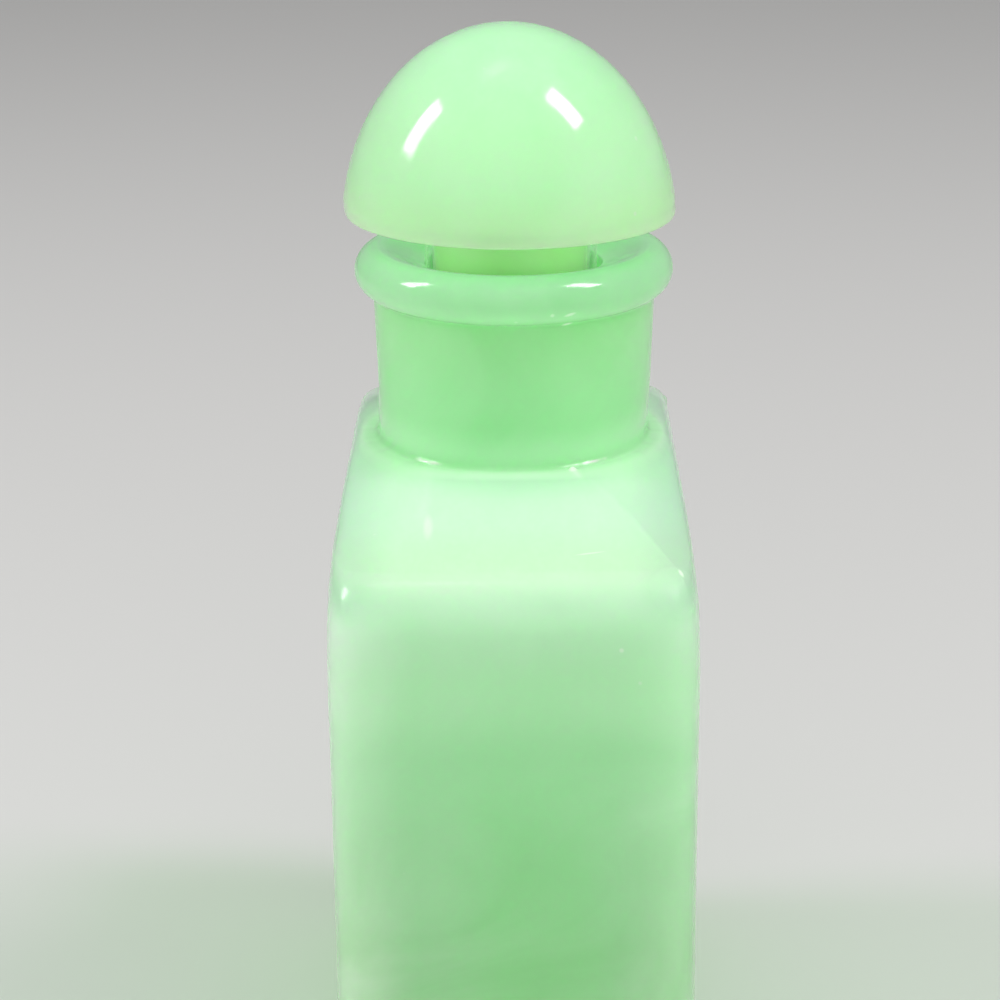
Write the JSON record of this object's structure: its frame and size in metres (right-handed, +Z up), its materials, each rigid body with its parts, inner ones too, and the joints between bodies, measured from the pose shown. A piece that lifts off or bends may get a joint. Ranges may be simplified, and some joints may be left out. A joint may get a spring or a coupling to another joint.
{
  "type": "cosmetic bottle",
  "caption": "Rectangular jade-green glass cosmetic bottle with a bead-lipped neck and a dome-topped glass stopper whose sleeved plug lifts out and turns.",
  "frame": {"origin": "centre of the resting face under the bottle", "axes": "+Z up along the neck, X across the broad faces, Y across the narrow ends; the picture looks along +Y at a narrow end"},
  "size_m": [0.0374, 0.072, 0.1195],
  "materials": {
    "jade_glass": "glossy, milky, slightly translucent pressed glass",
    "stopper_glass": "glossy, milky, slightly translucent pressed glass, a little yellower",
    "seal_plastic": "thin translucent polyethylene"
  },
  "bodies": {
    "bottle": {"bottle_body": "jade_glass"},
    "sleeve": {"stopper_sleeve": "seal_plastic"},
    "stopper": {"stopper": "stopper_glass"}
  },
  "joints": [
    {"name": "stopper_lift", "type": "slide", "parent": "bottle", "child": "sleeve", "axis": [0, 0, 1], "range_m": [0, 0.03]},
    {"name": "stopper_turn", "type": "hinge", "parent": "sleeve", "child": "stopper", "pos_m": [0, 0, 0.09985], "axis": [0, 0, 1], "continuous": true}
  ]
}
